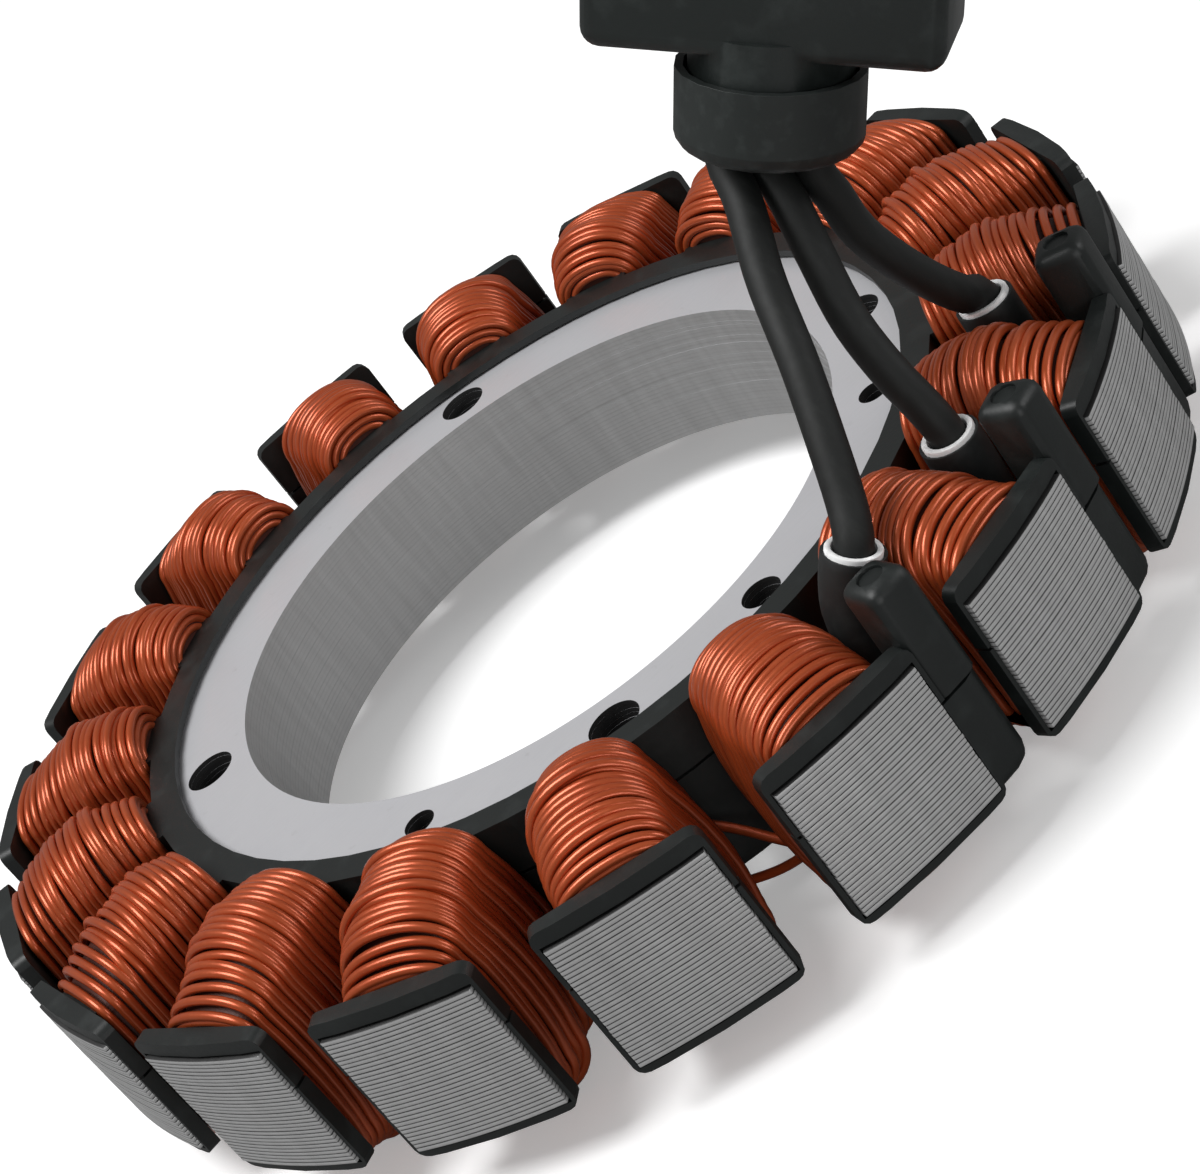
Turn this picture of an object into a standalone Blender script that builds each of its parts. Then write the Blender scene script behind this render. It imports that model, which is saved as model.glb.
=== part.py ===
"""A wound stator: a stack of steel laminations with eighteen coils on moulded insulators,
and three stiff leads that rise to a moulded plug.

Metres, +Z up. The bore is centred on Z and the coils' lowest turns rest on Z = 0.
Tooth 1 points along +X, and the teeth are counted counter-clockwise from above.
"""
import math

import bmesh
import bpy
from mathutils import Matrix, Vector

# The steel stack
TOOTH_COUNT = 18
LAMINATION_COUNT = 30
LAMINATION_THICKNESS = 0.0005
YOKE_RADIUS = 0.0462
YOKE_DEPTH = 0.01045
TOOTH_WIDTH = 0.0060
TIP_RADIUS = 0.0670
TIP_WIDTH = 0.0157
TIP_DEPTH = 0.0014
HOLE_INSET = 0.0057
BOLT_HOLE_DIAMETER = 0.0055
BOLT_HOLE_ANGLES = (-15, 75, 165, 255)
CLAMP_HOLE_DIAMETER = 0.0033
CLAMP_HOLE_ANGLES = (-45.5, 50.5)
LOCATING_HOLE_DIAMETER = 0.0042
LOCATING_HOLE_ANGLES = (10.5,)

# The moulded insulators
FIT = 0.0003
WALL = 0.0007
SIDE_WALL = 0.00045
CAP_THICKNESS = 0.0008
BAND_LAP = 0.0022
PARTING_DEPTH = 0.0048
LIP_RECESS = 0.0003
LIP_RISE = 0.0019
LIP_CORNER = 0.0011
LOWER_LIP_RISE = 0.0011

# The terminal posts, moulded beside the first three teeth
POST_COUNT = 3
POST_LAP = 0.00086
POST_CLEARANCE = 0.00135
POST_DEPTH = 0.0052
POST_RISE = 0.0075
POST_ROUNDING = 0.0013
POST_FOOT_ROUNDING = 0.0021
EJECTOR_MARK_SHARE = 0.53
EJECTOR_MARK_DEPTH = 0.0003

# The coils
RIDGE_COUNT = 6
RIDGE_DEPTH = 0.0007
COIL_RISE = 0.0064
COIL_RISE_AT_YOKE = 0.0040
COIL_RISE_AT_TIP = 0.0026
COIL_WIDTH = 0.0135
COIL_WIDTH_AT_YOKE = 0.0108
COIL_WIDTH_AT_TIP = 0.0122
COIL_BOW = 0.0010
COIL_LEAN = 0.0018
SHOULDER = 1.35

# The leads, and the sleeves that cover their splices
LEAD_DIAMETER = 0.0036
LEAD_SPACING = 0.0040
LEAD_POINT_SPACING = 0.0050
LEAD_DEPTH_IN_SLEEVE = 0.0029
LINER_CLEARANCE = 0.0002
LINER_WALL = 0.0006
LINER_STAND_OUT = 0.0004
SLEEVE_CLEARANCE = 0.0001
SLEEVE_WALL = 0.00025
SPLICE_DIAMETER = 0.0028
SPLICE_LENGTH = 0.0040

# The plug
PLUG_SLOT = 1
PLUG_FOOT = (0.001, 0.0110, 0.0306)
PLUG_AXIS = (0.215, 0.499, 0.840)
PLUG_WIDTH_DIRECTION = (0.613, 0.602, -0.510)
COLLAR_DIAMETER = 0.0172
COLLAR_HEIGHT = 0.0075
COLLAR_WALL = 0.0008
COLLAR_FLOOR = 0.0024
COLLAR_ROUNDING = 0.0016
SEAL_HOLE_CLEARANCE = 0.0004
NECK_CLEARANCE = 0.0004
HOUSING_OFFSET = 0.0096
HOUSING_WIDTH = 0.0320
HOUSING_DEPTH = 0.0135
HOUSING_HEIGHT = 0.0180
HOUSING_ROUNDING = 0.0018
SOCKET_SPACING = 0.0085
SOCKET_DIAMETER = 0.0060
SOCKET_DEPTH = 0.0100
CONTACT_DIAMETER = 0.0023
CONTACT_LENGTH = 0.0082

# Worked out from the sizes above
PITCH = 2 * math.pi / TOOTH_COUNT
BORE_RADIUS = YOKE_RADIUS - YOKE_DEPTH
HOLE_CIRCLE_RADIUS = YOKE_RADIUS - HOLE_INSET
BAND_INNER_RADIUS = YOKE_RADIUS - BAND_LAP
STACK_HEIGHT = LAMINATION_COUNT * LAMINATION_THICKNESS
STACK_BOTTOM = COIL_RISE
STACK_TOP = STACK_BOTTOM + STACK_HEIGHT
STACK_MIDDLE = STACK_BOTTOM + STACK_HEIGHT / 2
PARTING = STACK_TOP - PARTING_DEPTH
GROWTH = FIT + WALL
WINDING_FACE = TIP_RADIUS - TIP_DEPTH - GROWTH
LIP_RADIUS = TIP_RADIUS - LIP_RECESS
FRAME_WIDTH = TIP_WIDTH + 2 * (FIT + SIDE_WALL)
LINER_DIAMETER = LEAD_DIAMETER + 2 * (LINER_CLEARANCE + LINER_WALL)
SLEEVE_DIAMETER = LINER_DIAMETER + 2 * (SLEEVE_CLEARANCE + SLEEVE_WALL)
POST_RADIUS = LIP_RADIUS - POST_DEPTH / 2
NECK_DIAMETER = COLLAR_DIAMETER - 2 * (COLLAR_WALL + NECK_CLEARANCE)
FRAME_GAP = 2 * POST_RADIUS * math.tan(PITCH / 2) - FRAME_WIDTH
POST_WIDTH = FRAME_GAP - POST_CLEARANCE + POST_LAP
POST_ANGLE = math.asin((FRAME_WIDTH / 2 + POST_WIDTH / 2 - POST_LAP) / POST_RADIUS)
EJECTOR_MARK_DIAMETER = POST_WIDTH * EJECTOR_MARK_SHARE

# How finely round shapes are cut
BORE_STEPS = 60
TIP_STEPS = 4
HOLE_STEPS = 14
TURNED_STEPS = 20
PIN_STEPS = 12
CUT = 0.005

# Routes of the sleeves and leads in their slots: each point's share of the way from the yoke's wall to
# the posts, its place across the slot, and its height above the stack's top face
SLEEVE_ROUTES = (
    ((0.547, -0.0001, -0.0060), (0.558, 0.0002, 0.0), (0.612, 0.0012, 0.0032), (0.679, 0.0026, 0.0058)),
    ((0.544, 0.0, -0.0070), (0.553, 0.0001, -0.0020), (0.569, 0.0, 0.0034)),
    ((0.541, 0.0, -0.0060), (0.541, 0.0, -0.0010), (0.541, 0.0, 0.0044)),
)
LEAD_ROUTES = (
    ((0.609, 0.0050, 0.0087), (0.454, 0.0079, 0.0130), (0.204, 0.0118, 0.0183),
     (-0.159, 0.0164, 0.0238), (-0.463, 0.0211, 0.0284)),
    ((0.510, 0.0004, 0.0070), (0.394, 0.0011, 0.0111), (0.249, 0.0029, 0.0160),
     (0.132, 0.0058, 0.0215), (0.030, 0.0085, 0.0262)),
    ((0.500, -0.0018, 0.0067), (0.421, -0.0035, 0.0099), (0.318, -0.0050, 0.0145),
     (0.241, -0.0059, 0.0193), (0.241, -0.0062, 0.0236)),
)
LEAD_OFFSETS = (-1, 0, 1)


def clear_scene():
    for thing in list(bpy.data.objects):
        bpy.data.objects.remove(thing, do_unlink=True)


def new_collection(name):
    collection = bpy.data.collections.new(name)
    bpy.context.scene.collection.children.link(collection)
    return collection


def give_material(thing, colour, roughness, metallic):
    material = bpy.data.materials.new(thing.name)
    material.use_nodes = True
    shader = material.node_tree.nodes["Principled BSDF"]
    shader.inputs["Base Color"].default_value = (*colour, 1)
    shader.inputs["Roughness"].default_value = roughness
    shader.inputs["Metallic"].default_value = metallic
    thing.data.materials.clear()
    thing.data.materials.append(material)


def add_object(name, data, collection, place=None):
    thing = bpy.data.objects.new(name, data)
    collection.objects.link(thing)
    if place is not None:
        thing.matrix_world = place
    return thing


def mesh_from(bm, name):
    mesh = bpy.data.meshes.new(name)
    bm.to_mesh(mesh)
    bm.free()
    return mesh


def make_cutter(name, mesh, place=None):
    thing = add_object(name, mesh, cutters, place)
    thing.hide_render = True
    thing.display_type = "WIRE"
    return thing


def merge_flat_faces(thing):
    """Joins the triangles that Booleans leave in one plane."""
    modifier = thing.modifiers.new("merge flat faces", "DECIMATE")
    modifier.decimate_type = "DISSOLVE"
    modifier.angle_limit = math.radians(0.5)


def add_boolean(thing, operation, other):
    modifier = thing.modifiers.new(f"{operation.lower()} {other.name}", "BOOLEAN")
    modifier.operation = operation
    modifier.solver = "EXACT"
    modifier.object = other


def smooth_round(thing, angle=35):
    thing.data.shade_smooth()
    thing.data.set_sharp_from_angle(angle=math.radians(angle))


def flat_outline_mesh(name, outlines, thickness, place):
    """A flat shape of that thickness: a closed outline, and any further outlines as holes in it."""
    curve = bpy.data.curves.new(name, "CURVE")
    curve.dimensions = "2D"
    curve.fill_mode = "BOTH"
    curve.extrude = thickness / 2
    for outline in outlines:
        spline = curve.splines.new("POLY")
        spline.points.add(len(outline) - 1)
        spline.use_cyclic_u = True
        for point, (x, y) in zip(spline.points, outline):
            point.co = (x, y, 0, 1)
    guide = add_object(name, curve, cutters)
    evaluated = guide.evaluated_get(bpy.context.evaluated_depsgraph_get())
    mesh = bpy.data.meshes.new_from_object(evaluated)
    bpy.data.objects.remove(guide)
    bm = bmesh.new()
    bm.from_mesh(mesh)
    bpy.data.meshes.remove(mesh)
    bmesh.ops.remove_doubles(bm, verts=bm.verts, dist=1e-6)
    bmesh.ops.transform(bm, matrix=place, verts=bm.verts)
    return mesh_from(bm, name)


def prism(name, outlines, bottom, top):
    place = Matrix.Translation((0, 0, (bottom + top) / 2))
    return flat_outline_mesh(name, outlines, top - bottom, place)


def circle_outline(radius, steps, centre=(0, 0)):
    points = []
    for step in range(steps):
        angle = 2 * math.pi * step / steps
        points.append((centre[0] + radius * math.cos(angle), centre[1] + radius * math.sin(angle)))
    return points


def cylinder_into(bm, radius, bottom, top, steps, place=Matrix.Identity(4)):
    middle = Matrix.Translation((0, 0, (bottom + top) / 2))
    bmesh.ops.create_cone(bm, cap_ends=True, segments=steps, radius1=radius, radius2=radius,
                          depth=top - bottom, matrix=place @ middle)


def copy_round(mesh, angles):
    """One mesh that holds a copy of the given one at each angle about Z."""
    bm = bmesh.new()
    for angle in angles:
        before = len(bm.verts)
        bm.from_mesh(mesh)
        bm.verts.ensure_lookup_table()
        bmesh.ops.rotate(bm, verts=bm.verts[before:], cent=(0, 0, 0),
                         matrix=Matrix.Rotation(angle, 3, "Z"))
    return mesh_from(bm, mesh.name)


def tooth_angles(count=TOOTH_COUNT):
    return [PITCH * index for index in range(count)]


def turned_about_z(points, angle):
    cosine = math.cos(angle)
    sine = math.sin(angle)
    return [(x * cosine - y * sine, x * sine + y * cosine) for x, y in points]


def stator_outline(growth, tip_growth, tip_radius):
    """The stack's outline seen from above, grown by a clearance or a wall."""
    yoke = YOKE_RADIUS + growth
    arm = TOOTH_WIDTH / 2 + growth
    root = math.sqrt(yoke ** 2 - arm ** 2)
    back = TIP_RADIUS - TIP_DEPTH - growth
    half_tip = TIP_WIDTH / 2 + tip_growth
    tip_angle = math.asin(half_tip / tip_radius)
    tooth = [(root, -arm), (back, -arm), (back, -half_tip)]
    for step in range(TIP_STEPS + 1):
        angle = tip_angle * (2 * step / TIP_STEPS - 1)
        tooth.append((tip_radius * math.cos(angle), tip_radius * math.sin(angle)))
    tooth += [(back, half_tip), (back, arm), (root, arm)]
    tooth.append((yoke * math.cos(PITCH / 2), yoke * math.sin(PITCH / 2)))
    return [point for angle in tooth_angles() for point in turned_about_z(tooth, angle)]


def spider_outline(growth, reach):
    """The yoke and the arms without their tips, grown by a wall, with the arms cut off at a reach."""
    yoke = YOKE_RADIUS + growth
    arm = TOOTH_WIDTH / 2 + growth
    root = math.sqrt(yoke ** 2 - arm ** 2)
    tooth = [(root, -arm), (reach, -arm), (reach, arm), (root, arm)]
    tooth.append((yoke * math.cos(PITCH / 2), yoke * math.sin(PITCH / 2)))
    return [point for angle in tooth_angles() for point in turned_about_z(tooth, angle)]


def make_stack():
    outlines = [stator_outline(0, 0, TIP_RADIUS), circle_outline(BORE_RADIUS, BORE_STEPS)]
    holes = ((BOLT_HOLE_DIAMETER, BOLT_HOLE_ANGLES), (CLAMP_HOLE_DIAMETER, CLAMP_HOLE_ANGLES),
             (LOCATING_HOLE_DIAMETER, LOCATING_HOLE_ANGLES))
    for diameter, angles in holes:
        for angle in angles:
            turn = math.radians(angle)
            centre = (HOLE_CIRCLE_RADIUS * math.cos(turn), HOLE_CIRCLE_RADIUS * math.sin(turn))
            outlines.append(circle_outline(diameter / 2, HOLE_STEPS, centre))
    stack = add_object("lamination_stack", prism("lamination_stack", outlines, STACK_BOTTOM, STACK_TOP), parts)
    give_material(stack, (0.45, 0.45, 0.47), 0.4, 1.0)


def corner_arc(corner, radius, start, steps=3):
    """Points of a quarter turn that rounds a corner, from a start direction in quarter turns."""
    points = []
    for step in range(steps + 1):
        angle = (start + step / steps) * math.pi / 2
        points.append((corner[0] + radius * math.cos(angle), corner[1] + radius * math.sin(angle)))
    return points


def lip_outline(inner, outer):
    """A tip frame seen along its tooth: half on each side, its rounded edge at the outer height."""
    half = FRAME_WIDTH / 2
    corner = half - LIP_CORNER
    outline = [(half, inner)]
    outline += corner_arc((corner, outer - LIP_CORNER), LIP_CORNER, 0)
    return outline + [(-x, y) for x, y in reversed(outline)]


def frame_blocks(name, inner, outer, upward):
    """A block behind and round each tip, which the pocket then hollows."""
    outline = lip_outline(inner, outer)
    if not upward:
        outline = [(x, -y) for x, y in reversed(outline)]
    facing = Matrix(((0, 0, 1, 0), (1, 0, 0, 0), (0, 1, 0, 0), (0, 0, 0, 1)))
    depth = TIP_RADIUS + CUT - WINDING_FACE
    shift = Matrix.Translation((WINDING_FACE + depth / 2, 0, STACK_MIDDLE))
    return copy_round(flat_outline_mesh(name, [outline], depth, shift @ facing), tooth_angles())


def post_blocks(name, bottom, top, upward):
    """The terminal posts' upper or lower halves, rounded at the free end; a foot stays square by its frame."""
    bm = bmesh.new()
    block = bmesh.ops.create_cube(bm, size=1)["verts"]
    bmesh.ops.scale(bm, vec=(POST_DEPTH, POST_WIDTH, top - bottom), verts=block)
    end = 1 if upward else -1
    at_end = [edge for edge in bm.edges if max(vert.co.z * end for vert in edge.verts) > 0]
    rounded = [edge for edge in at_end if upward or max(vert.co.y for vert in edge.verts) > 0]
    offset = min(POST_ROUNDING if upward else POST_FOOT_ROUNDING, POST_WIDTH / 2.2)
    bmesh.ops.bevel(bm, geom=rounded, offset=offset, segments=3, profile=0.5, affect="EDGES")
    turn = Matrix.Rotation(POST_ANGLE, 4, "Z")
    place = turn @ Matrix.Translation((POST_RADIUS, 0, (bottom + top) / 2))
    bmesh.ops.transform(bm, matrix=place, verts=bm.verts)
    return copy_round(mesh_from(bm, name), tooth_angles(POST_COUNT))


def make_insulator(name, upward):
    """One half of the two-part insulator, from the parting plane outwards over one face of the stack."""
    sign = 1 if upward else -1
    half_height = STACK_HEIGHT / 2
    parting = (PARTING - STACK_MIDDLE) * sign + FIT / 2
    cap = half_height + FIT + CAP_THICKNESS
    lip = half_height + (LIP_RISE if upward else LOWER_LIP_RISE)

    def between(low, high):
        """Heights from the stack's middle, mirrored for the lower half."""
        ends = sorted((STACK_MIDDLE + sign * low, STACK_MIDDLE + sign * high))
        return ends

    band = circle_outline(BAND_INNER_RADIUS, BORE_STEPS)
    spider = [spider_outline(GROWTH, WINDING_FACE + WALL / 2), band]
    body = add_object(name, prism(name, spider, *between(parting - CUT, cap)), parts)
    frames = frame_blocks(f"{name} frames", parting - 1.5 * CUT, lip, upward)
    add_boolean(body, "UNION", make_cutter(f"{name} frames", frames))

    post_end = half_height + POST_RISE if upward else lip
    posts = post_blocks(f"{name} posts", *between(parting - 2 * CUT, post_end), upward)
    add_boolean(body, "UNION", make_cutter(f"{name} posts", posts))

    low, high = between(parting, post_end + CUT)
    rim = [circle_outline(LIP_RADIUS, TOOTH_COUNT * TIP_STEPS), circle_outline(BORE_RADIUS, BORE_STEPS)]
    envelope = prism(f"{name} envelope", rim, low, high)
    add_boolean(body, "INTERSECT", make_cutter(f"{name} envelope", envelope))

    hollow = [stator_outline(FIT, FIT, TIP_RADIUS + CUT), circle_outline(BORE_RADIUS - CUT, BORE_STEPS)]
    pocket = prism(f"{name} pocket", hollow, *between(parting - 3 * CUT, half_height + FIT))
    add_boolean(body, "DIFFERENCE", make_cutter(f"{name} pocket", pocket))
    give_material(body, (0.022, 0.026, 0.024), 0.5, 0.0)
    return body


def mark_posts(upper):
    """The round ejector marks on the posts' tops."""
    bm = bmesh.new()
    top = STACK_TOP + POST_RISE
    for angle in tooth_angles(POST_COUNT):
        turn = Matrix.Rotation(angle + POST_ANGLE, 4, "Z")
        place = turn @ Matrix.Translation((POST_RADIUS, 0, 0))
        cylinder_into(bm, EJECTOR_MARK_DIAMETER / 2, top - EJECTOR_MARK_DEPTH, top + CUT, PIN_STEPS, place)
    add_boolean(upper, "DIFFERENCE", make_cutter("ejector marks", mesh_from(bm, "ejector marks")))


def arch(start, peak, end, share):
    """A parabola's height at a share of the way from start to end, rising to the peak between."""
    control = peak + math.sqrt((peak - start) * (peak - end))
    return start * (1 - share) ** 2 + 2 * control * share * (1 - share) + end * share ** 2


def coil_section(left, right, height, inner_width, inner_height, bows=(0, 0)):
    """Ten points round a winding's section, with shoulders that grow with its build and bowed sides."""
    rise = SHOULDER * (height - inner_height)
    points = []
    for side, half in ((1, right), (-1, left)):
        slope = SHOULDER * (half - inner_width)
        corner = [(half, height - rise), (half - slope, height)]
        corner = corner if side > 0 else corner[::-1]
        points += [(side * y, z) for y, z in corner]
    lower = [(y, -z) for y, z in reversed(points)]
    return points + [(-left - bows[0], 0)] + lower + [(right + bows[1], 0)]


def slot_room(radius, width):
    """The room for a coil beside a thing of that width that stands in the slot's middle."""
    return radius * math.sin(PITCH / 2) - (width / 2 + FIT) * math.cos(PITCH / 2)


def coil_mesh(name, left_pressed, right_pressed):
    """A coil lofted ridge by ridge along its tooth, and closed through its inside."""
    inner_width = TOOTH_WIDTH / 2 + GROWTH + FIT
    inner_height = STACK_HEIGHT / 2 + FIT + CAP_THICKNESS + FIT
    start = YOKE_RADIUS + GROWTH + FIT
    end = WINDING_FACE - FIT
    pressed = slot_room(slot_radius(SLEEVE_ROUTES[-1][0][0]), SLEEVE_DIAMETER)
    sections = []
    for step in range(2 * RIDGE_COUNT + 1):
        share = step / (2 * RIDGE_COUNT)
        groove = 0 if step % 2 else RIDGE_DEPTH
        half = arch(COIL_WIDTH_AT_YOKE / 2, COIL_WIDTH / 2, COIL_WIDTH_AT_TIP / 2, share) - groove
        rise = arch(COIL_RISE_AT_YOKE, COIL_RISE, COIL_RISE_AT_TIP, share) - groove
        halves = [min(half, pressed) if side else half for side in (left_pressed, right_pressed)]
        bows = [0 if side else COIL_BOW for side in (left_pressed, right_pressed)]
        height = STACK_HEIGHT / 2 + rise
        outline = coil_section(*halves, height, inner_width, inner_height, bows)
        middle = start + (end - start) * share
        lean = COIL_LEAN * 2 * share * (1 - share)
        sections.append([(middle + lean * (1 - z / height), y, z) for y, z in outline])
    core = coil_section(inner_width, inner_width, inner_height, inner_width - FIT, inner_height - FIT)
    sections += [[(x, y, z) for y, z in core] for x in (end, start)]
    bm = bmesh.new()
    rings = [[bm.verts.new(point) for point in outline] for outline in sections]
    for ring, after in zip(rings, rings[1:] + rings[:1]):
        for index in range(len(ring)):
            following = (index + 1) % len(ring)
            bm.faces.new((ring[index], ring[following], after[following], after[index]))
    bmesh.ops.recalc_face_normals(bm, faces=bm.faces)
    return mesh_from(bm, name)


def make_coils():
    """A sleeve stands in each of the first slots, and presses in the coils on both sides of it."""
    for index, angle in enumerate(tooth_angles()):
        right_pressed = index < POST_COUNT
        left_pressed = 1 <= index <= POST_COUNT
        name = f"coil_{index + 1:02d}"
        coil = add_object(name, coil_mesh(name, left_pressed, right_pressed), parts)
        coil.location = (0, 0, STACK_MIDDLE)
        coil.rotation_euler = (0, 0, angle)
        give_material(coil, (0.61, 0.13, 0.06), 0.35, 0.6)


def smooth_route(points, spacing):
    """Points at about equal spacing along a smooth curve through the given ones."""
    ends = [2 * points[0] - points[1]] + list(points) + [2 * points[-1] - points[-2]]
    dense = []
    for first, second, third, fourth in zip(ends, ends[1:], ends[2:], ends[3:]):
        for step in range(20):
            t = step / 20
            dense.append(0.5 * (2 * second + (third - first) * t
                                + (2 * first - 5 * second + 4 * third - fourth) * t ** 2
                                + (3 * second - first - 3 * third + fourth) * t ** 3))
    dense.append(points[-1])
    lengths = [0]
    for first, second in zip(dense, dense[1:]):
        lengths.append(lengths[-1] + (second - first).length)
    count = max(2, round(lengths[-1] / spacing) + 1)
    route = []
    for index in range(count):
        goal = lengths[-1] * index / (count - 1)
        spot = max(place for place, length in enumerate(lengths) if length <= goal + 1e-12)
        spot = min(spot, len(dense) - 2)
        share = (goal - lengths[spot]) / (lengths[spot + 1] - lengths[spot])
        route.append(dense[spot].lerp(dense[spot + 1], share))
    return route


def make_tube(name, route, diameter, resolution, wall=0):
    """A round wire along a route, or an open tube with a wall inside that diameter."""
    curve = bpy.data.curves.new(name, "CURVE")
    curve.dimensions = "3D"
    curve.bevel_depth = diameter / 2
    curve.bevel_resolution = resolution
    curve.use_fill_caps = wall == 0
    spline = curve.splines.new("POLY")
    spline.points.add(len(route) - 1)
    spline.use_smooth = True
    for point, place in zip(spline.points, route):
        point.co = (*place, 1)
    tube = add_object(name, curve, parts)
    if wall:
        solidify = tube.modifiers.new("wall", "SOLIDIFY")
        solidify.thickness = wall
        solidify.offset = -1
        solidify.use_even_offset = True
    return tube


def slot_radius(share):
    wall = YOKE_RADIUS + GROWTH
    return wall + share * (LIP_RADIUS - POST_DEPTH - wall)


def in_slot(slot, point):
    """The place of a route's point in its slot."""
    share, across, height = point
    place = Vector((slot_radius(share), across, STACK_TOP + height))
    return Matrix.Rotation(PITCH * (slot + 0.5), 3, "Z") @ place


def plug_place():
    """The plug's own frame: X across its width, Z from the leads to its housing."""
    up = Vector(PLUG_AXIS).normalized()
    across = Vector(PLUG_WIDTH_DIRECTION)
    across = (across - across.dot(up) * up).normalized()
    depth = up.cross(across)
    turn = Matrix((across, depth, up)).transposed().to_4x4()
    return Matrix.Translation(in_slot(PLUG_SLOT, PLUG_FOOT)) @ turn


def make_sleeve(number, route):
    sleeve = make_tube(f"lead_sleeve_{number}", route, SLEEVE_DIAMETER, 4, SLEEVE_WALL)
    give_material(sleeve, (0.020, 0.022, 0.022), 0.6, 0.0)
    mouth = (route[-1] - route[-2]).normalized()
    inner_route = route[:-1] + [route[-1] + mouth * LINER_STAND_OUT]
    liner = make_tube(f"sleeve_liner_{number}", inner_route, LINER_DIAMETER, 4, LINER_WALL)
    give_material(liner, (0.85, 0.85, 0.85), 0.5, 0.0)


def make_lead(number, sleeve_route, bends, offset):
    """A lead from its splice, out of its sleeve's mouth and over to its place in the plug's seal."""
    plug = plug_place()
    below = plug @ Vector((offset * LEAD_SPACING, 0, -LEAD_DIAMETER / 2))
    inside = plug @ Vector((offset * LEAD_SPACING, 0, COLLAR_FLOOR - FIT))
    mouth = sleeve_route[-1]
    outward = (mouth - sleeve_route[-2]).normalized()
    foot = mouth - outward * LEAD_DEPTH_IN_SLEEVE
    leaving = mouth + outward * (LINER_STAND_OUT + FIT)
    free = [leaving] + bends + [below, inside]
    route = [foot] + smooth_route(free, LEAD_POINT_SPACING)
    lead = make_tube(f"lead_{number}", route, LEAD_DIAMETER, 2)
    give_material(lead, (0.020, 0.024, 0.023), 0.45, 0.0)
    make_splice(number, *sleeve_route[:2])


def make_splice(number, low, high):
    """The soldered joint of the lead and its winding, in the sleeve's straight lower end."""
    reach = (high - low).normalized() * SPLICE_LENGTH / 2
    middle = low.lerp(high, 0.5)
    splice = make_tube(f"splice_{number}", [middle - reach, middle + reach], SPLICE_DIAMETER, 2)
    give_material(splice, (0.75, 0.72, 0.66), 0.35, 1.0)


def make_leads():
    for index in range(POST_COUNT):
        sleeve_route = [in_slot(index, point) for point in SLEEVE_ROUTES[index]]
        bends = [in_slot(index, point) for point in LEAD_ROUTES[index]]
        make_sleeve(index + 1, sleeve_route)
        make_lead(index + 1, sleeve_route, bends, LEAD_OFFSETS[index])


def make_seal():
    """The round collar between the leads and the housing, a cup with an oval hole in its floor."""
    outer = COLLAR_DIAMETER / 2
    inner = outer - COLLAR_WALL
    profile = [(0, COLLAR_FLOOR), (inner, COLLAR_FLOOR), (inner, COLLAR_HEIGHT), (outer, COLLAR_HEIGHT)]
    round_centre = (outer - COLLAR_ROUNDING, COLLAR_ROUNDING)
    profile += [(x, y) for x, y in reversed(corner_arc(round_centre, COLLAR_ROUNDING, 3))]
    profile.append((0, 0))
    bm = bmesh.new()
    points = [bm.verts.new((radius, 0, height)) for radius, height in profile]
    for first, second in zip(points, points[1:]):
        bm.edges.new((first, second))
    seal = add_object("plug_seal", mesh_from(bm, "plug_seal"), parts, plug_place())
    screw = seal.modifiers.new("turn", "SCREW")
    screw.steps = TURNED_STEPS
    screw.render_steps = TURNED_STEPS
    screw.use_merge_vertices = True
    screw.merge_threshold = 0.00001
    screw.use_normal_calculate = True
    give_material(seal, (0.020, 0.023, 0.022), 0.55, 0.0)

    hole = LEAD_DIAMETER / 2 + SEAL_HOLE_CLEARANCE
    reach = LEAD_SPACING * max(LEAD_OFFSETS)
    oval = []
    for centre, start in ((reach, -1), (-reach, 1)):
        for step in range(9):
            angle = (start + step / 4) * math.pi / 2
            oval.append((centre + hole * math.cos(angle), hole * math.sin(angle)))
    cutter = prism("lead hole", [oval], -CUT, COLLAR_FLOOR + CUT)
    add_boolean(seal, "DIFFERENCE", make_cutter("lead hole", cutter, plug_place()))


def make_housing():
    """The housing block on its neck, with a well for each contact in the mating face."""
    bm = bmesh.new()
    block = bmesh.ops.create_cube(bm, size=1)["verts"]
    bmesh.ops.scale(bm, vec=(HOUSING_WIDTH, HOUSING_DEPTH, HOUSING_HEIGHT), verts=block)
    bmesh.ops.translate(bm, vec=(0, 0, HOUSING_OFFSET + HOUSING_HEIGHT / 2), verts=block)
    bmesh.ops.bevel(bm, geom=bm.edges[:], offset=HOUSING_ROUNDING, segments=2, profile=0.5, affect="EDGES")
    housing = add_object("plug_body", mesh_from(bm, "plug_body"), parts, plug_place())

    bm = bmesh.new()
    cylinder_into(bm, NECK_DIAMETER / 2, COLLAR_FLOOR + FIT, HOUSING_OFFSET + HOUSING_ROUNDING, TURNED_STEPS)
    add_boolean(housing, "UNION", make_cutter("neck", mesh_from(bm, "neck"), plug_place()))

    bm = bmesh.new()
    top = HOUSING_OFFSET + HOUSING_HEIGHT
    for offset in LEAD_OFFSETS:
        place = Matrix.Translation((offset * SOCKET_SPACING, 0, 0))
        cylinder_into(bm, SOCKET_DIAMETER / 2, top - SOCKET_DEPTH, top + CUT, PIN_STEPS, place)
    add_boolean(housing, "DIFFERENCE", make_cutter("contact wells", mesh_from(bm, "contact wells"), plug_place()))
    give_material(housing, (0.021, 0.024, 0.024), 0.5, 0.0)


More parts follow.
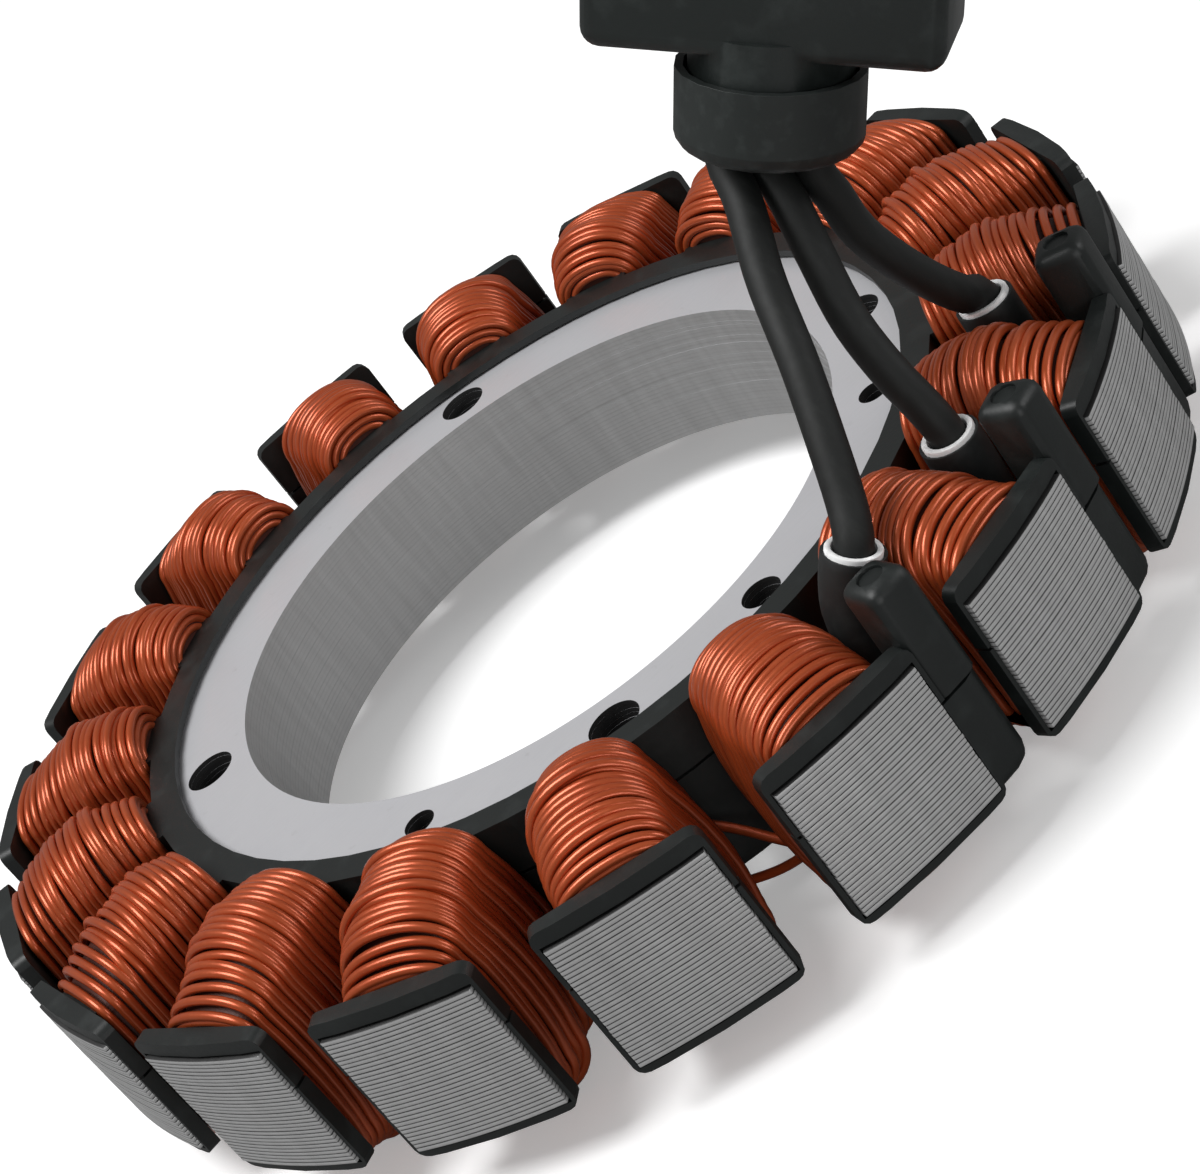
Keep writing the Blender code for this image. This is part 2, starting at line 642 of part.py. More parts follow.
def make_contacts():
    bottom = HOUSING_OFFSET + HOUSING_HEIGHT - SOCKET_DEPTH + FIT
    for number, offset in enumerate(LEAD_OFFSETS, 1):
        bm = bmesh.new()
        cylinder_into(bm, CONTACT_DIAMETER / 2, bottom, bottom + CONTACT_LENGTH, PIN_STEPS)
        place = plug_place() @ Matrix.Translation((offset * SOCKET_SPACING, 0, 0))
        contact = add_object(f"contact_pin_{number}", mesh_from(bm, f"contact_pin_{number}"), parts, place)
        give_material(contact, (0.78, 0.68, 0.45), 0.3, 1.0)


clear_scene()
parts = new_collection("wound_stator")
cutters = new_collection("cutters")
make_stack()
insulator_upper = make_insulator("insulator_upper", True)
insulator_lower = make_insulator("insulator_lower", False)
merge_flat_faces(insulator_lower)
mark_posts(insulator_upper)
merge_flat_faces(insulator_upper)
make_coils()
make_leads()
make_seal()
make_housing()
make_contacts()
for part in parts.objects:
    if part.type == "MESH" and not part.name.startswith("coil"):
        smooth_round(part)
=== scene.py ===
"""The look of the wound stator: thin steel sheets, coils of real turns, moulded insulators,
three stiff leads in their sleeves and the moulded plug, on a white floor.

Metres, in the part's own frame. Tooth 1 points along +X, and the teeth count counter-clockwise.
"""
import math
import random

import bpy
from mathutils import Matrix, Vector


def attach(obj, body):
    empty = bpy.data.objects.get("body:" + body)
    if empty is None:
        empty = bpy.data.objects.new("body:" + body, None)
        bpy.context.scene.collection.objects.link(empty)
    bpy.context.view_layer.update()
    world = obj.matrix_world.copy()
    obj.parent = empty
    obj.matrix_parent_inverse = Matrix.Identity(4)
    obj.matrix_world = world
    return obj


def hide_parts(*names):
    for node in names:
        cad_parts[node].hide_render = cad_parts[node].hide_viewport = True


TOOTH_COUNT = 18
PITCH = 2 * math.pi / TOOTH_COUNT
SHEET_COUNT = 30
SHEET_PITCH = 0.0005
SHEET_THICKNESS = 0.00049
SHEET_SHIFT = 0.00002
SHEET_TURN = 0.0004
EDGE_ROUND = 0.00010
STACK_BOTTOM = 0.0064
STACK_TOP = STACK_BOTTOM + SHEET_COUNT * SHEET_PITCH
STACK_MIDDLE = (STACK_BOTTOM + STACK_TOP) / 2
HALF_STACK = (STACK_TOP - STACK_BOTTOM) / 2

BORE_RADIUS = 0.03575
YOKE_RADIUS = 0.0462
TIP_RADIUS = 0.0670
TIP_WIDTH = 0.0160
TIP_DEPTH = 0.0014
TOOTH_WIDTH = 0.0060
ROOT_LAP = 0.002
CUT_OVER = 0.001
HOLE_CIRCLE_RADIUS = 0.0405
HOLES = ((0.0055, (-15, 75, 165, 255)), (0.0033, (-45.5, 50.5)), (0.0042, (10.5,)))

WIRE_RADIUS = 0.00047
POST_COUNT = 3
LEAD_DIAMETER = 0.0036
LEAD_SPACING = 0.0040
LINER_DIAMETER = 0.0052
LINER_WALL = 0.0006
LINER_STAND_OUT = 0.0004
SLEEVE_DIAMETER = 0.0059
SLEEVE_WALL = 0.00025
LEAD_DEPTH_IN_SLEEVE = 0.0029
COLLAR_FLOOR = 0.0024
NECK_RADIUS = 0.0074
HOUSING_OFFSET = 0.0096
HOUSING_WIDTH = 0.0320
HOUSING_DEPTH = 0.0135
HOUSING_HEIGHT = 0.0180
HOUSING_ROUNDING = 0.0018
SOCKET_SPACING = 0.0085
SOCKET_RADIUS = 0.0030
SOCKET_DEPTH = 0.0100
FIT = 0.0003
MOULD_EDGE = 0.00014
COLLAR_EDGE = 0.0003

# The leads and sleeves follow the part's own routes: each point's share of the way from the yoke's
# wall to the posts, its place across the slot, and its height above the stack's top face
SLOT_FLOOR = 0.0472
SLOT_ROOM = 0.0143
SLEEVE_ROUTES = (
    ((0.547, -0.0001, -0.0060), (0.558, 0.0002, 0.0), (0.612, 0.0012, 0.0032), (0.679, 0.0026, 0.0058)),
    ((0.544, 0.0, -0.0070), (0.553, 0.0001, -0.0020), (0.569, 0.0, 0.0034)),
    ((0.541, 0.0, -0.0060), (0.541, 0.0, -0.0010), (0.541, 0.0, 0.0044)),
)
LEAD_ROUTES = (
    ((0.609, 0.0050, 0.0087), (0.454, 0.0079, 0.0130), (0.204, 0.0118, 0.0183),
     (-0.159, 0.0164, 0.0238), (-0.463, 0.0211, 0.0284)),
    ((0.510, 0.0004, 0.0070), (0.394, 0.0011, 0.0111), (0.249, 0.0029, 0.0160),
     (0.132, 0.0058, 0.0215), (0.030, 0.0085, 0.0262)),
    ((0.500, -0.0018, 0.0067), (0.421, -0.0035, 0.0099), (0.318, -0.0050, 0.0145),
     (0.241, -0.0059, 0.0193), (0.241, -0.0062, 0.0236)),
)
PLUG_SLOT = 1
PLUG_FOOT = (0.001, 0.0110, 0.0306)
PLUG_AXIS = (0.215, 0.499, 0.840)
PLUG_WIDTH_DIRECTION = (0.613, 0.602, -0.510)

NOISE_ROUGHNESS = 0.55


class Value:
    """A socket of a material's nodes, so that sums on it are written as sums."""

    def __init__(self, finish, socket):
        self.finish = finish
        self.socket = socket

    def sum(self, operation, first, second):
        return self.finish.node("ShaderNodeMath", {"operation": operation}, {0: first, 1: second})

    def __add__(self, other):
        return self.sum("ADD", self, other)

    def __radd__(self, other):
        return self.sum("ADD", other, self)

    def __sub__(self, other):
        return self.sum("SUBTRACT", self, other)

    def __rsub__(self, other):
        return self.sum("SUBTRACT", other, self)

    def __mul__(self, other):
        return self.sum("MULTIPLY", self, other)

    def __rmul__(self, other):
        return self.sum("MULTIPLY", other, self)


class Finish:
    """One material and the nodes that vary it over the surface."""

    def __init__(self, name, colour, roughness, metallic=0.0, coat=0.0, coat_roughness=0.1):
        self.material = bpy.data.materials.new(name)
        self.material.use_nodes = True
        self.tree = self.material.node_tree
        self.shader = self.tree.nodes["Principled BSDF"]
        self.set("Base Color", (*colour, 1))
        self.set("Roughness", roughness)
        self.set("Metallic", metallic)
        self.set("Coat Weight", coat)
        self.set("Coat Roughness", coat_roughness)

    def set(self, socket, value):
        target = self.shader.inputs[socket]
        if isinstance(value, Value):
            self.tree.links.new(value.socket, target)
        else:
            target.default_value = value

    def node(self, kind, settings, inputs, output=0):
        made = self.tree.nodes.new(kind)
        for name, value in settings.items():
            if name == "stops":
                ramp = made.color_ramp
                while len(ramp.elements) < len(value):
                    ramp.elements.new(0.5)
                for element, (place, shade) in zip(ramp.elements, value):
                    element.position = place
                    element.color = (shade, shade, shade, 1)
            else:
                setattr(made, name, value)
        for name, value in inputs.items():
            if isinstance(value, Value):
                self.tree.links.new(value.socket, made.inputs[name])
            else:
                made.inputs[name].default_value = value
        return Value(self, made.outputs[output])

    def place(self, scale=(1, 1, 1)):
        """The point on the object, stretched per axis."""
        point = self.node("ShaderNodeTexCoord", {}, {}, "Object")
        return self.node("ShaderNodeMapping", {}, {"Vector": point, "Scale": scale})

    def height(self):
        return self.node("ShaderNodeSeparateXYZ", {}, {"Vector": self.place()}, "Z")

    def distance(self):
        """How far the point is from the bore's axis."""
        flat = self.place((1, 1, 0))
        return self.node("ShaderNodeVectorMath", {"operation": "LENGTH"}, {0: flat}, "Value")

    def noise(self, scale, detail=3.0, stretch=(1, 1, 1)):
        return self.node("ShaderNodeTexNoise", {}, {"Vector": self.place(stretch), "Scale": scale,
                                                    "Detail": detail, "Roughness": NOISE_ROUGHNESS}, "Fac")

    def ramp(self, value, *stops):
        return self.node("ShaderNodeValToRGB", {"stops": stops}, {"Fac": value})

    def mix(self, share, first, second):
        return self.node("ShaderNodeMix", {"data_type": "RGBA"},
                         {"Factor": share, 6: (*first, 1) if isinstance(first, tuple) else first,
                          7: (*second, 1) if isinstance(second, tuple) else second}, 2)

    def bump(self, height, strength, distance):
        self.set("Normal", self.node("ShaderNodeBump", {}, {"Height": height, "Strength": strength,
                                                            "Distance": distance}))


def beyond(finish, radius):
    """1 where the surface is further than that from the bore's axis, and else 0."""
    return finish.node("ShaderNodeMath", {"operation": "GREATER_THAN"}, {0: finish.distance(), 1: radius})


def steel_finish():
    """The flat of the sheets: fine scratches, a faint cloud and a few darker handling marks, with painted
    shade, near black, on the flats beyond the yoke.
    """
    finish = Finish("sheet steel", (0.70, 0.70, 0.72), 0.40, metallic=0.5)
    cloud = finish.ramp(finish.noise(90, 4), (0.35, 0.0), (0.75, 1.0))
    grain = finish.noise(2600, 2, (1, 0.18, 1))
    colour = finish.mix(cloud, (0.72, 0.72, 0.75), (0.66, 0.66, 0.68))
    colour = finish.mix(grain * 0.3, colour, (0.56, 0.56, 0.57))
    marks = finish.ramp(finish.noise(420, 5), (0.66, 0.0), (0.74, 1.0))
    colour = finish.mix(marks * 0.2, colour, (0.42, 0.41, 0.40))
    # Painted shade: the flats beyond the yoke, under the insulators and in the thin gap below their lips,
    # are painted near black.
    finish.set("Base Color", finish.mix(beyond(finish, YOKE_RADIUS + 0.0005), colour, (0.05, 0.05, 0.05)))
    finish.set("Roughness", 0.36 + grain * 0.14 + cloud * 0.08)
    finish.bump(grain, 0.10, 0.00004)
    return finish.material


def edge_finish():
    """The sheets' stamped edges: streaked across the sheets, with a dark line between two sheets' tips, and
    painted shade, near black, on the walls of the holes and of the yoke between the teeth.
    """
    finish = Finish("stamped edges", (0.54, 0.54, 0.54), 0.42, metallic=0.4)
    streaks = finish.noise(900, 4, (1, 1, 0.10))
    colour = finish.mix(streaks, (0.50, 0.50, 0.50), (0.69, 0.69, 0.69))
    sheets = (finish.height() - STACK_BOTTOM) * (1 / SHEET_PITCH)
    off_joint = finish.node("ShaderNodeMath", {"operation": "PINGPONG"}, {0: sheets, 1: 0.5})
    at_tip = beyond(finish, YOKE_RADIUS)
    # Painted shade: the edges between the bore and the teeth, the holes' walls and the yoke's wall in the
    # slots, are painted near black.
    hole_shade = beyond(finish, BORE_RADIUS + 0.001) - at_tip
    joint = finish.ramp(off_joint, (0.04, 1.0), (0.24, 0.0))
    colour = finish.mix(joint * (0.08 + at_tip * 0.50), colour, (0.07, 0.07, 0.07))
    finish.set("Base Color", finish.mix(hole_shade * 0.95, colour, (0.02, 0.02, 0.02)))
    finish.set("Roughness", 0.34 + streaks * 0.16)
    finish.bump(streaks, 0.15, 0.00005)
    return finish.material


def resin_finish(name, colour, roughness):
    """Black moulded resin with a fine matt skin and paler rubbed patches."""
    finish = Finish(name, colour, roughness)
    grain = finish.noise(2400, 3)
    rubbed = finish.ramp(finish.noise(260, 5), (0.52, 0.0), (0.70, 1.0))
    paler = tuple(channel * 1.9 + 0.006 for channel in colour)
    finish.set("Base Color", finish.mix(rubbed * 0.55, colour, paler))
    finish.set("Roughness", roughness - 0.06 + grain * 0.10 + rubbed * 0.08)
    finish.bump(grain, 0.25, 0.00006)
    return finish.material


def copper_finish():
    """Copper wire under clear red-brown enamel: its colour drifts, and painted shade darkens it in the
    slots, towards the stack's middle.
    """
    finish = Finish("enamelled copper", (0.62, 0.13, 0.05), 0.30,
                    metallic=0.45, coat=0.25, coat_roughness=0.20)
    drift = finish.noise(170, 3, (1, 1, 0.35))
    streak = finish.noise(1500, 2, (1, 1, 0.12))
    colour = finish.mix(drift, (0.38, 0.050, 0.011), (0.58, 0.102, 0.026))
    colour = finish.mix(streak * 0.30, colour, (0.50, 0.13, 0.045))
    # Painted shade: the turns are painted darker the nearer they lie to the stack's middle, deep in the
    # slots.
    level = finish.height() - STACK_MIDDLE
    from_middle = finish.node("ShaderNodeMath", {"operation": "ABSOLUTE"}, {0: level})
    slot_shade = finish.ramp(from_middle * 100, (0.35, 1.0), (0.85, 0.0))
    finish.set("Base Color", finish.mix(slot_shade * 0.45, colour, (0.10, 0.018, 0.007)))
    finish.set("Roughness", 0.24 + streak * 0.16)
    return finish.material


def under_copper_finish():
    """The turns beneath, painted dark as shade, where the light hardly reaches."""
    finish = Finish("shaded turns beneath", (0.09, 0.016, 0.006), 0.5, metallic=0.2)
    # Painted shade: the turns beneath are nearly black so that the gaps between the outer turns read dark.
    drift = finish.noise(600, 3)
    finish.set("Base Color", finish.mix(drift, (0.03, 0.006, 0.003), (0.10, 0.018, 0.007)))
    finish.set("Roughness", 0.45 + drift * 0.2)
    return finish.material


def rubber_finish(name, colour, roughness, stretch=(1, 1, 1)):
    """Extruded or moulded rubber: soft, faintly dusty, with a slow ripple along its run."""
    finish = Finish(name, colour, roughness)
    dust = finish.ramp(finish.noise(700, 4, stretch), (0.50, 0.0), (0.70, 1.0))
    ripple = finish.noise(500, 2, stretch)
    paler = tuple(channel * 2.1 + 0.008 for channel in colour)
    finish.set("Base Color", finish.mix(dust * 0.4, colour, paler))
    finish.set("Roughness", roughness + ripple * 0.10)
    finish.bump(ripple, 0.20, 0.00010)
    return finish.material


def clear_selection():
    if bpy.context.object is not None and bpy.context.object.mode != "OBJECT":
        bpy.ops.object.mode_set(mode="OBJECT")
    bpy.ops.object.select_all(action="DESELECT")


def take_up(thing):
    clear_selection()
    thing.select_set(True)
    bpy.context.view_layer.objects.active = thing


def settle(thing):
    """Puts the object's place into its mesh."""
    take_up(thing)
    bpy.ops.object.transform_apply(location=True, rotation=True, scale=True)


def apply_modifiers(thing):
    take_up(thing)
    for modifier in list(thing.modifiers):
        bpy.ops.object.modifier_apply(modifier=modifier.name)


def smooth(thing, angle=35):
    take_up(thing)
    bpy.ops.object.shade_smooth_by_angle(angle=math.radians(angle))


def dress(thing, name, material, slot, *nodes):
    """Names a finished piece, gives it its material and ties it to the part."""
    thing.name = name
    thing.data.name = name
    thing.data.materials.clear()
    thing.data.materials.append(material)
    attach(thing, "root")
    if nodes:
        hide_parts(*nodes)
    return thing


def cut_with(thing, operation, other):
    """Applies a Boolean with another piece, which is used up."""
    modifier = thing.modifiers.new("cut", "BOOLEAN")
    modifier.operation = operation
    modifier.solver = "EXACT"
    modifier.use_self = True
    modifier.object = other
    apply_modifiers(thing)
    bpy.data.objects.remove(other)


def join_all(things):
    clear_selection()
    for thing in things:
        thing.select_set(True)
    bpy.context.view_layer.objects.active = things[0]
    bpy.ops.object.join()
    return things[0]


def cylinder(radius, low, high, steps, place=(0, 0)):
    clear_selection()
    bpy.ops.mesh.primitive_cylinder_add(vertices=steps, radius=radius, depth=high - low,
                                        location=(place[0], place[1], (low + high) / 2))
    settle(bpy.context.object)
    return bpy.context.object


def box(low, high):
    clear_selection()
    middle = [(a + b) / 2 for a, b in zip(low, high)]
    bpy.ops.mesh.primitive_cube_add(size=1, location=middle)
    cube = bpy.context.object
    cube.scale = [b - a for a, b in zip(low, high)]
    settle(cube)
    return cube


def turned_copy(thing, angle):
    """A copy with its own mesh, turned about the bore's axis."""
    copy = thing.copy()
    copy.data = thing.data.copy()
    bpy.context.scene.collection.objects.link(copy)
    copy.data.transform(Matrix.Rotation(angle, 4, "Z"))
    return copy


def make_sheet():
    """One lamination with its teeth, bore and holes."""
    low = STACK_BOTTOM + (SHEET_PITCH - SHEET_THICKNESS) / 2
    high = low + SHEET_THICKNESS
    half_arm, half_tip = TOOTH_WIDTH / 2, TIP_WIDTH / 2
    arm = box((YOKE_RADIUS - ROOT_LAP, -half_arm, low), (TIP_RADIUS - TIP_DEPTH / 2, half_arm, high))
    tip = box((TIP_RADIUS - TIP_DEPTH, -half_tip, low), (TIP_RADIUS, half_tip, high))
    take_up(tip)
    bpy.ops.object.mode_set(mode="EDIT")
    bpy.ops.mesh.select_all(action="SELECT")
    bpy.ops.mesh.bisect(plane_co=(0, 0, 0), plane_no=(0, 1, 0))
    for step in range(1, 6):
        for side in (-1, 1):
            bpy.ops.mesh.select_all(action="SELECT")
            bpy.ops.mesh.bisect(plane_co=(0, side * step * TIP_WIDTH / 12, 0), plane_no=(0, 1, 0))
    bpy.ops.object.mode_set(mode="OBJECT")
    for vertex in tip.data.vertices:
        if vertex.co.x > TIP_RADIUS - TIP_DEPTH / 2:
            vertex.co.x = math.sqrt(TIP_RADIUS ** 2 - vertex.co.y ** 2)
    round_tip_edges(tip)
    cut_with(arm, "UNION", tip)
    teeth = join_all([arm] + [turned_copy(arm, PITCH * index) for index in range(1, TOOTH_COUNT)])
    sheet = cylinder(YOKE_RADIUS, low, high, 180)
    cut_with(sheet, "UNION", teeth)
    cutters = [cylinder(BORE_RADIUS, low - CUT_OVER, high + CUT_OVER, 200)]
    for diameter, angles in HOLES:
        for angle in angles:
            turn = math.radians(angle)
            place = (HOLE_CIRCLE_RADIUS * math.cos(turn), HOLE_CIRCLE_RADIUS * math.sin(turn))
            cutters.append(cylinder(diameter / 2, low - CUT_OVER, high + CUT_OVER, 36, place))
    cut_with(sheet, "DIFFERENCE", join_all(cutters))
    return sheet


def round_tip_edges(tip):
    """The punched edge round a tip's face is rolled over, so that each sheet shows as a line."""
    face = TIP_RADIUS - TIP_DEPTH * 0.6
    for edge in tip.data.edges:
        ends = [tip.data.vertices[index].co for index in edge.vertices]
        along = (ends[0] - ends[1]).normalized()
        outer = min(ends[0].x, ends[1].x) > face
        corner = abs(ends[0].y) > TIP_WIDTH / 2 - 0.00001 and abs(ends[1].y) > TIP_WIDTH / 2 - 0.00001
        level = abs(along.z) < 0.5
        edge.select = (outer and level) or (corner and (level or outer))
    for face_of_tip in tip.data.polygons:
        face_of_tip.select = False
    for vertex in tip.data.vertices:
        vertex.select = False
    weights = tip.data.attributes.new("bevel_weight_edge", "FLOAT", "EDGE")
    weights.data.foreach_set("value", [1.0 if edge.select else 0.0 for edge in tip.data.edges])
    bevel = tip.modifiers.new("rolled edge", "BEVEL")
    bevel.width = EDGE_ROUND
    bevel.segments = 2
    bevel.limit_method = "WEIGHT"
    apply_modifiers(tip)


def make_stack(flat, edges):
    """The sheets lie close on each other, each a few hundredths out of line."""
    sheet = make_sheet()
    random.seed(11)
    sheets = [sheet]
    for index in range(1, SHEET_COUNT):
        copy = turned_copy(sheet, random.uniform(-SHEET_TURN, SHEET_TURN))
        shift = Vector((random.uniform(-1, 1), random.uniform(-1, 1), 0)) * SHEET_SHIFT
        copy.data.transform(Matrix.Translation(shift + Vector((0, 0, index * SHEET_PITCH))))
        sheets.append(copy)
    stack = join_all(sheets)
    smooth(stack, 30)
    dress(stack, "steel_sheets", flat, "core_steel", "lamination_stack")
    stack.data.materials.append(edges)
    for face in stack.data.polygons:
        face.material_index = 0 if abs(face.normal.z) > 0.9 else 1


def between(table, place):
    """A value read from a table of places and values, straight between its rows."""
    for (first, low), (second, high) in zip(table, table[1:]):
        if place <= second:
            share = max(0.0, (place - first) / (second - first))
            return low + (high - low) * share
    return table[-1][1]


# The outer form of a coil: its rise over the stack and its half width, by the distance from the bore's axis
COIL_RISE = ((0.0480, 0.0044), (0.0510, 0.0059), (0.0540, 0.0063), (0.0570, 0.0060), (0.0600, 0.0050),
             (0.0630, 0.0036), (0.0645, 0.0027))
COIL_HALF_WIDTH = ((0.0480, 0.0056), (0.0510, 0.0062), (0.0540, 0.0066), (0.0570, 0.0068),
                   (0.0600, 0.0067), (0.0630, 0.0063), (0.0645, 0.0060))
SIDE_BOW = 0.0009
FOOT_BOW = 0.0006
COIL_LEAN = 0.0018
PRESSED_HALF_WIDTH = 0.0063
FIRST_TURN = 0.0481
LAST_TURN = 0.0638
TURN_COUNT = 17
ARC_POINTS = 12
SIDE_POINTS = 6
ROUNDNESS = 2.2
DROP = 0.00045
SKEW = 0.00030
SINKS = (0.0, 0.0, 0.0003, 0.0006)
LAYER_DEPTH = 0.00095
BED_INSET = 0.0015
BED_ROWS = 15

# The wires between the eighteenth coil and the first, in the first tooth's own place: millimetres out
# from the axis, across the slot and up from the stack's middle
CROSSOVERS = (
    ((48.6, -4.0, -8.6), (49.6, -2.0, -8.9), (51.0, 0.2, -8.8), (52.3, 2.4, -8.3), (53.0, 4.2, -7.6)),
    ((48.2, -3.8, -0.9), (49.4, -1.9, -2.0), (51.0, -0.2, -3.2), (52.6, 1.4, -4.6), (54.2, 3.2, -6.2)),
)


def loop_shares():
    """One turn's stations: the side, its level from -1 to 1 along the stack, and the share of the arc."""
    stations = []
    for side, end in ((1, 1), (-1, -1)):
        for step in range(SIDE_POINTS):
            stations.append((side, end * (2 * step / SIDE_POINTS - 1), None))
        for step in range(2 * ARC_POINTS):
            stations.append((side, end, step / (2 * ARC_POINTS)))
    return stations


class Winding:
    """The outer form of one coil round its tooth, whose sides may be pressed in by a sleeve."""

    def __init__(self, index, rng):
        self.pressed = {1: index < POST_COUNT, -1: 1 <= index <= POST_COUNT}
        self.lean = COIL_LEAN * rng.uniform(0.8, 1.2)
        self.fullness = rng.uniform(-0.00015, 0.00015)

    def half_width(self, side, level, place):
        half = between(COIL_HALF_WIDTH, place)
        half += SIDE_BOW * (1 - level ** 2) + FOOT_BOW * (1 - level) / 2
        return min(half, PRESSED_HALF_WIDTH) if self.pressed[side] else half + self.fullness

    def point(self, station, place, inset, sink=0.0):
        """The point of a turn at a station, set in from the form, and sinking in more down its sides."""
        side, level, arc = station
        depth = 0.0 if arc is not None and level > 0 else min(1.0, (1 - level) * 0.8)
        inset += sink * depth * depth * (3 - 2 * depth)
        rise = between(COIL_RISE, place)
        share = (place - FIRST_TURN) / (LAST_TURN - FIRST_TURN)
        if arc is None:
            across = side * (self.half_width(side, level, place) - inset)
            height = level * HALF_STACK
        else:
            cosine = math.cos(math.pi * arc)
            towards = side if cosine >= 0 else -side
            half = self.half_width(towards, level, place) - inset
            across = towards * half * abs(cosine) ** (2 / ROUNDNESS)
            up = abs(math.sin(math.pi * arc)) ** (2 / ROUNDNESS)
            height = level * (HALF_STACK + (rise - inset) * up)
        fall = (1 - height / (HALF_STACK + rise)) / 2
        lean = self.lean * 4 * share * (1 - share) * fall
        return Vector((place + lean, across, height))


def turn_places(rng):
    """Where each turn lies along the tooth: packed close, with a crease here and there."""
    steps = []
    for turn in range(TURN_COUNT):
        late = turn > TURN_COUNT - 4
        steps.append(rng.uniform(1.15, 1.45) if late or rng.random() < 0.16 else rng.uniform(0.88, 1.02))
    places = [FIRST_TURN]
    for step in steps:
        places.append(places[-1] + step * (LAST_TURN - FIRST_TURN) / sum(steps))
    return places


def coil_turns(rng, winding):
    """The centre line of a coil's outer turns, which step to the next place along under the tooth."""
    places = turn_places(rng)
    stations = loop_shares()
    drop = 0.0
    turns = []
    for place in places:
        if rng.random() < 0.35:
            drop = rng.uniform(0.0, DROP)
        inset = WIRE_RADIUS + drop + rng.uniform(-0.00005, 0.00010)
        room = min(1.0, min(place - FIRST_TURN, LAST_TURN - place) / 0.003)
        skew = rng.uniform(-1, 1) * SKEW * room
        sink = rng.choice(SINKS) + rng.uniform(0.0, 0.0001)
        turns.append(Vector((place, inset, skew, sink)))
    wander = rng.uniform(0, 2 * math.pi)
    points = []
    for turn, following in zip(turns, turns[1:] + turns[-1:]):
        for index, station in enumerate(stations):
            along = index / len(stations)
            step = max(0.0, along * 4 - 3)
            place, inset, skew, sink = turn.lerp(following, step * step * (3 - 2 * step))
            point = winding.point(station, place, inset, sink)
            point.x += skew * math.sin(4 * math.pi * along + wander)
            points.append(point)
    return points


def end_loops(winding):
    """The turns that show on a coil's two ends, one inside another."""
    routes = []
    for place, count in ((FIRST_TURN, 3), (LAST_TURN, 2)):
        for layer in range(1, count):
            inset = WIRE_RADIUS + layer * LAYER_DEPTH
            stations = loop_shares()
            routes.append([winding.point(station, place, inset) for station in stations + stations[:1]])
    return routes


def crossovers():
    """The two wires that pass from the eighteenth coil to the first."""
    turn = Matrix.Rotation(-PITCH / 2, 3, "Z")
    return [smooth_route([turn @ (Vector(point) * 0.001) for point in points], 0.0006)
            for points in CROSSOVERS]


def wire_curve(name, routes, radius, resolution=2):
    """Round wires along routes, as one curve object."""
    curve = bpy.data.curves.new(name, "CURVE")
    curve.dimensions = "3D"
    curve.bevel_depth = radius
    curve.bevel_resolution = resolution
    curve.use_fill_caps = True
    for route in routes:
        spline = curve.splines.new("POLY")
        spline.points.add(len(route) - 1)
        spline.use_smooth = True
        for point, place in zip(spline.points, route):
            point.co = (*place, 1)
    thing = bpy.data.objects.new(name, curve)
    bpy.context.scene.collection.objects.link(thing)
    return thing


def to_mesh(thing):
    take_up(thing)
    bpy.ops.object.convert(target="MESH")
    return bpy.context.object


def rider_turns(rng, winding):
    """A few last turns that cross slantwise over the others."""
    routes = []
    stations = loop_shares()
    for _ in range(2):
        start = rng.uniform(FIRST_TURN + 0.002, LAST_TURN - 0.006)
        drift = rng.uniform(-0.0008, 0.0012)
        route = []
        for index, station in enumerate(stations + stations[:1]):
            place = start + drift * math.sin(math.pi * index / len(stations)) ** 2
            route.append(winding.point(station, place, 0.7 * WIRE_RADIUS))
        routes.append(route)
    return routes


def make_coil(index, material, under):
    """A coil's outer turns round its own tooth, over a bed of the turns below, painted dark as shade."""
    rng = random.Random(100 + index)
    winding = Winding(index, rng)
    routes = [coil_turns(rng, winding)] + rider_turns(rng, winding) + end_loops(winding)
    if index == 0:
        routes += crossovers()
    coil = to_mesh(wire_curve("turns", routes, WIRE_RADIUS))
    bed = make_bed(winding)
    turn = Matrix.Translation((0, 0, STACK_MIDDLE)) @ Matrix.Rotation(PITCH * index, 4, "Z")
    for thing in (coil, bed):
        thing.data.transform(turn)
    bed_faces = len(bed.data.polygons)
    coil = join_all([coil, bed])
    node = f"coil_{index + 1:02d}"
    dress(coil, f"coil_turns_{index + 1:02d}", material, "enamelled_copper", node)
    # Painted shade: the bed takes the dark material beneath, so the gaps between turns read dark.
    coil.data.materials.append(under)
    for face in coil.data.polygons[-bed_faces:]:
        face.material_index = 1


def make_bed(winding):
    """The turns under the outer ones, which close the coil behind the gaps."""
    rings = []
    for row in range(BED_ROWS):
        place = FIRST_TURN - 0.0001 + (LAST_TURN - FIRST_TURN + 0.0002) * row / (BED_ROWS - 1)
        rings.append([winding.point(station, place, BED_INSET) for station in loop_shares()])
    count = len(rings[0])
    vertices = [point for ring in rings for point in ring]
    faces = []
    for row in range(len(rings) - 1):
        for column in range(count):
            after = (column + 1) % count
            faces.append((row * count + column, row * count + after,
                          (row + 1) * count + after, (row + 1) * count + column))
    faces.append(tuple(reversed(range(count))))
    faces.append(tuple(range((len(rings) - 1) * count, len(rings) * count)))
    mesh = bpy.data.meshes.new("bed")
    mesh.from_pydata(vertices, [], faces)
    thing = bpy.data.objects.new("bed", mesh)
    bpy.context.scene.collection.objects.link(thing)
    take_up(thing)
    bpy.ops.object.mode_set(mode="EDIT")
    bpy.ops.mesh.select_all(action="SELECT")
    bpy.ops.mesh.normals_make_consistent(inside=False)
    bpy.ops.object.mode_set(mode="OBJECT")
    return thing


